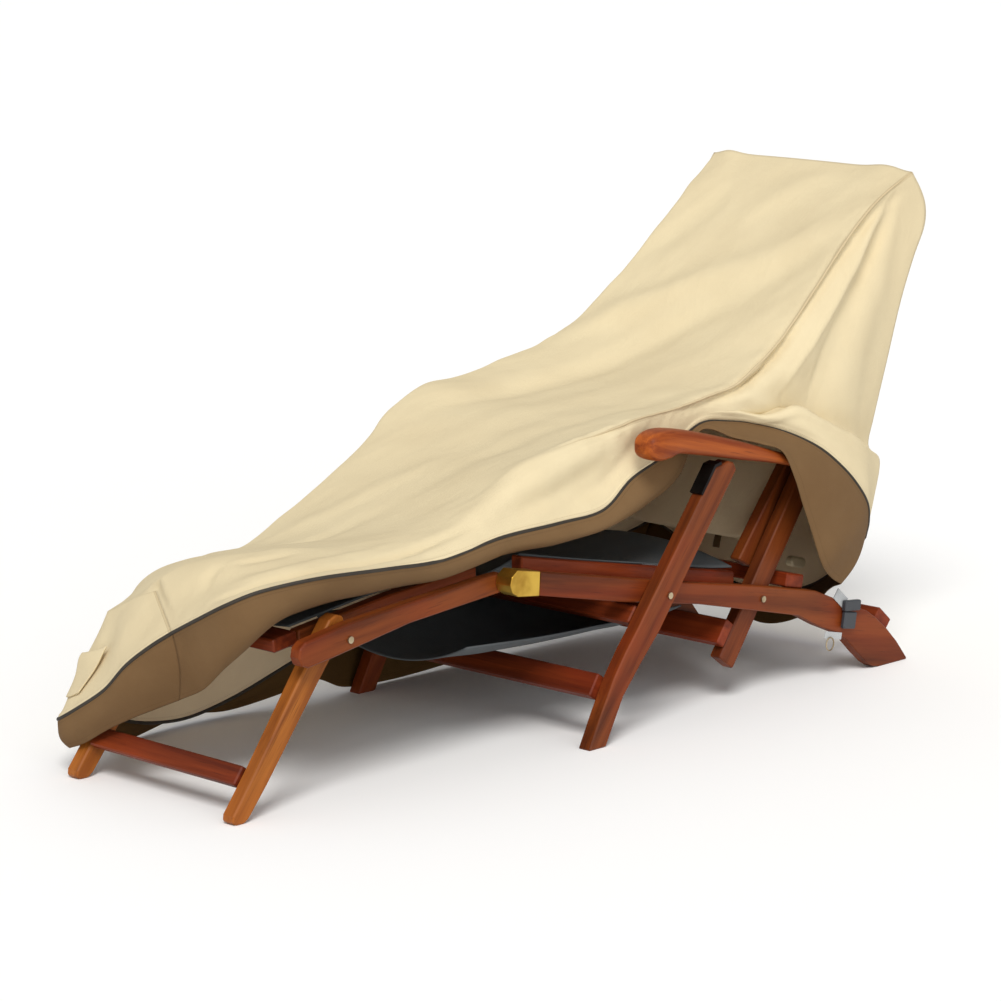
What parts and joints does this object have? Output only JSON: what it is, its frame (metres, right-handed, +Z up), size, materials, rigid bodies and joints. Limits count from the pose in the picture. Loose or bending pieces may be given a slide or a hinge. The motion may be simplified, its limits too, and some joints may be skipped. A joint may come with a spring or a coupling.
{
  "type": "lounge chair cover on a folding wooden lounge chair",
  "caption": "Fitted cream weather cover with a brown skirt and piped edge, thrown over a folding wooden lounge chair, its near side lifted over the armrest.",
  "frame": {"origin": "middle of the bounding box's base, on the surface that the chair stands on", "axes": "+Z up; +X from the footrest to the backrest; the open side of the cover faces -Y"},
  "size_m": [1.7334, 0.6748, 0.9404],
  "materials": {
    "cover_cloth": "tightly woven cream polyester canvas, matt, water-repellent",
    "skirt_cloth": "the same canvas in bark brown, round the bottom edge",
    "piping": "near-black covered cord sewn into the skirt's seam",
    "sling_cloth": "dark slate canvas of the chair's slings",
    "webbing": "light grey woven strap",
    "hardwood": "oiled reddish-brown hardwood with a soft sheen",
    "brass": "satin brass plate",
    "steel": "worn steel screw heads and wire",
    "dark_metal": "dark painted plate under each armrest",
    "buckle_plastic": "black moulded side-release buckle"
  },
  "bodies": {
    "root": {"armrest_far": "hardwood", "armrest_near": "hardwood", "back_panel": "cover_cloth", "back_rail_far": "hardwood", "back_rail_near": "hardwood", "back_skirt": "skirt_cloth", "back_sling": "sling_cloth", "back_top_bar": "hardwood", "buckle_plug": "buckle_plastic", "buckle_socket": "buckle_plastic", "cord_lock": "cover_cloth", "cord_loop": "steel", "far_side_panel": "cover_cloth", "far_skirt": "skirt_cloth", "foot_bolt_far": "steel", "foot_bolt_near": "steel", "foot_inner_rail_far": "hardwood", "foot_inner_rail_near": "hardwood", "foot_leg_far": "hardwood", "foot_leg_near": "hardwood", "foot_panel": "cover_cloth", "foot_rail_far": "hardwood", "foot_rail_near": "hardwood", "foot_skirt": "skirt_cloth", "foot_slat": "hardwood", "foot_sling": "sling_cloth", "foot_stretcher": "hardwood", "front_bracket_far": "dark_metal", "front_bracket_near": "dark_metal", "front_leg_far": "hardwood", "front_leg_near": "hardwood", "front_stretcher_high": "hardwood", "front_stretcher_low": "hardwood", "hinge_cap_far": "brass", "hinge_cap_near": "brass", "inner_ribbon": "skirt_cloth", "leg_bolt_far": "steel", "leg_bolt_near": "steel", "main_rail_far": "hardwood", "main_rail_near": "hardwood", "near_side_panel": "cover_cloth", "near_skirt": "skirt_cloth", "piping_back": "piping", "piping_far": "piping", "piping_near": "piping", "prop_bar": "hardwood", "pull_strip": "cover_cloth", "rail_bolt_far": "steel", "rail_bolt_near": "steel", "rear_leg_far": "hardwood", "rear_leg_near": "hardwood", "rear_stretcher": "hardwood", "seat_rail_far": "hardwood", "seat_rail_near": "hardwood", "seat_sling": "sling_cloth", "strap_lower": "webbing", "strap_upper": "webbing", "tail_bar": "hardwood", "top_panel": "cover_cloth", "under_sling": "sling_cloth"}
  },
  "joints": []
}
